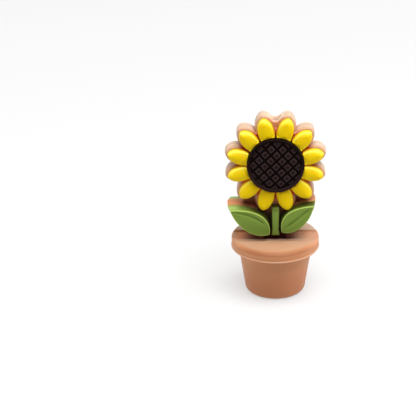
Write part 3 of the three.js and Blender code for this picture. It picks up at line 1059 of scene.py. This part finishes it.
def waffle(sizes):
    """The waffle's cells as one shell, in millimetres, standing on the front disc."""
    brown = finish_for("brown_silicone")
    cell = waffle_cell(sizes)
    helper = mesh_object("cell", cell.points, cell.faces, brown, tones=cell.tones)
    holder = new_object("waffle", bpy.data.meshes.new("waffle"))
    edge = DISC_RADIUS - sizes.ring_width / MM
    field = edge * MM
    dome = (DISC_CROWN_FRONT - DISC_EDGE_FRONT) * MM
    values = {
        "Cell": helper,
        "Finish": brown,
        "Half width": sizes.cell_width / 2,
        "Half height": sizes.cell_height / 2,
        "Reach": field + sizes.cell_width * 0.4,
        "Fall": dome / field**2,
        "Lift": DISC_CROWN_FRONT * MM - sizes.cell_relief,
        "Turn": math.radians(WAFFLE_TURN),
        "Place": (WAFFLE_X * MM, 0.0, WAFFLE_Z * MM),
    }
    tree = waffle_tree()
    step = holder.modifiers.new("waffle", "NODES")
    step.node_group = tree
    for item in tree.interface.items_tree:
        if item.in_out == "INPUT":
            step[item.identifier] = values[item.name]
    finish_modifiers(holder)
    inside, low, high = edge - 0.03, 2.62, 5.0
    points, faces = turned([(0.0, low), (inside, low), (inside, high), (0.0, high)], 96)
    points = [(x, -height, DISC_Z + FIELD_RISE + y) for x, y, height in points]
    combine(holder, "INTERSECT", mesh_object("trim", points, faces, brown))
    mesh = holder.data
    cells = Shell()
    cells.points = [tuple(c / MM for c in v.co) for v in mesh.vertices]
    cells.faces = [tuple(p.vertices) for p in mesh.polygons]
    cells.tones = [item.value for item in mesh.attributes["tone"].data]
    bpy.data.objects.remove(holder)
    bpy.data.objects.remove(helper)
    return cells


# ---- what each piece stands for ----
def both_sides(name, shell, material, node, crease):
    """Makes a pad's front piece and its mirror image on the back."""
    for side, mirrored in (("front", False), ("back", True)):
        half = Shell().join(shell, mirrored)
        piece = mesh_object(f"{name}_{side}", half.points, half.faces, finish_for(material),
                            crease, half.tones)
        settle(piece, f"{node}_{side}")


def settle(piece, node):
    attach(piece, "root")
    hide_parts(node)


class BEAD_OT_core(bpy.types.Operator):
    """Make the terracotta core with its pot, rim and threading hole"""

    bl_idname = "bead.core"
    bl_label = "Core"

    def execute(self, context):
        settle(make_core(context.scene.bead_sizes), "body")
        return {"FINISHED"}


class BEAD_OT_petals(bpy.types.Operator):
    """Make the yellow petals on both sides"""

    bl_idname = "bead.petals"
    bl_label = "Petals"

    def execute(self, context):
        both_sides("yellow_petals", petal_pads(context.scene.bead_sizes), "yellow_silicone",
                   "petals", 60.0)
        return {"FINISHED"}


class BEAD_OT_discs(bpy.types.Operator):
    """Make the dark discs with their waffle on both sides"""

    bl_idname = "bead.discs"
    bl_label = "Discs"

    def execute(self, context):
        sizes = context.scene.bead_sizes
        disc = disc_blank(sizes).join(waffle(sizes))
        both_sides("waffle_disc", disc, "brown_silicone", "disc", 30.0)
        return {"FINISHED"}


class BEAD_OT_leaves(bpy.types.Operator):
    """Make the green leaves on both sides"""

    bl_idname = "bead.leaves"
    bl_label = "Leaves"

    def execute(self, context):
        for side in LEAVES:
            both_sides(f"green_leaf_{side}", leaf_pad(context.scene.bead_sizes, side),
                       "green_silicone", f"leaf_{side}", 50.0)
        return {"FINISHED"}


class BEAD_OT_stems(bpy.types.Operator):
    """Make the green stem on both sides"""

    bl_idname = "bead.stems"
    bl_label = "Stems"

    def execute(self, context):
        both_sides("green_stem", stem_pad(), "green_silicone", "stem", 50.0)
        return {"FINISHED"}


# ---- the stage ----
def area_light(name, place, size, power):
    light = bpy.data.lights.new(name, "AREA")
    light.shape = "RECTANGLE"
    light.size, light.size_y = size
    light.energy = power
    lamp = new_object(name, light)
    lamp.location = place
    to_bead = Vector((0.0, 0.0, 15 * MM)) - Vector(place)
    lamp.rotation_euler = to_bead.to_track_quat("-Z", "Y").to_euler()


def make_camera():
    elevation, turn = math.radians(VIEW_ELEVATION), math.radians(VIEW_TURN)
    level = math.cos(elevation)
    back = Vector((math.sin(turn) * level, -math.cos(turn) * level, math.sin(elevation)))
    data = bpy.data.cameras.new("camera")
    data.sensor_width = 36.0
    data.lens = VIEW_LENS
    data.clip_start = 0.01
    camera = new_object("camera", data)
    roll = Matrix.Rotation(math.radians(-VIEW_ROLL), 3, "Z")
    camera.matrix_world = (back.to_track_quat("Z", "Y").to_matrix() @ roll).to_4x4()
    camera.location = (Vector(VIEW_AIM) + back * VIEW_DISTANCE) * MM
    bpy.context.scene.camera = camera


class BEAD_OT_stage(bpy.types.Operator):
    """Make the pale floor, the soft light and the camera"""

    bl_idname = "bead.stage"
    bl_label = "Stage"

    def execute(self, context):
        scene = context.scene
        scene.view_settings.view_transform = "Standard"
        ways = ((-1, -1), (1, -1), (1, 1), (-1, 1))
        corners = [(x * FLOOR_HALF, y * FLOOR_HALF, 0) for x, y in ways]
        floor = mesh_object("floor", corners, [(0, 1, 2, 3)], floor_finish(scene.bead_colours))
        scene.world = bpy.data.worlds.new("studio")
        scene.world.use_nodes = True
        sky = Nodes(scene.world.node_tree)
        _, away, _ = sky.split(sky.add("ShaderNodeTexCoord", output="Generated"))
        strength = sky.ramp(away, -0.5, 0.7, 0.1, 0.9)
        sky.fill(sky.nodes["Background"], {"Color": (1.0, 1.0, 1.0, 1.0), "Strength": strength})
        for lamp in LAMPS:
            area_light(*lamp)
        make_camera()
        return {"FINISHED"}


class BEAD_PT_panel(bpy.types.Panel):
    """Lists the bead's pieces in the order they are made"""

    bl_idname = "BEAD_PT_panel"
    bl_label = "Potted Sunflower Bead"
    bl_space_type = "VIEW_3D"
    bl_region_type = "UI"
    bl_category = "Bead"

    def draw(self, context):
        for operator in MAKERS:
            self.layout.operator(operator.bl_idname)
        for group in (context.scene.bead_sizes, context.scene.bead_colours):
            for name in group.__annotations__:
                self.layout.prop(group, name)


MAKERS = (BEAD_OT_core, BEAD_OT_petals, BEAD_OT_discs, BEAD_OT_leaves, BEAD_OT_stems, BEAD_OT_stage)
CLASSES = (BeadSizes, BeadColours, *MAKERS, BEAD_PT_panel)


def register():
    for kind in CLASSES:
        bpy.utils.register_class(kind)
    bpy.types.Scene.bead_sizes = PointerProperty(type=BeadSizes)
    bpy.types.Scene.bead_colours = PointerProperty(type=BeadColours)


def unregister():
    del bpy.types.Scene.bead_colours
    del bpy.types.Scene.bead_sizes
    for kind in reversed(CLASSES):
        bpy.utils.unregister_class(kind)


def main():
    register()
    bpy.ops.bead.core()
    bpy.ops.bead.petals()
    bpy.ops.bead.discs()
    bpy.ops.bead.leaves()
    bpy.ops.bead.stems()
    bpy.ops.bead.stage()


if __name__ == "__main__":
    main()
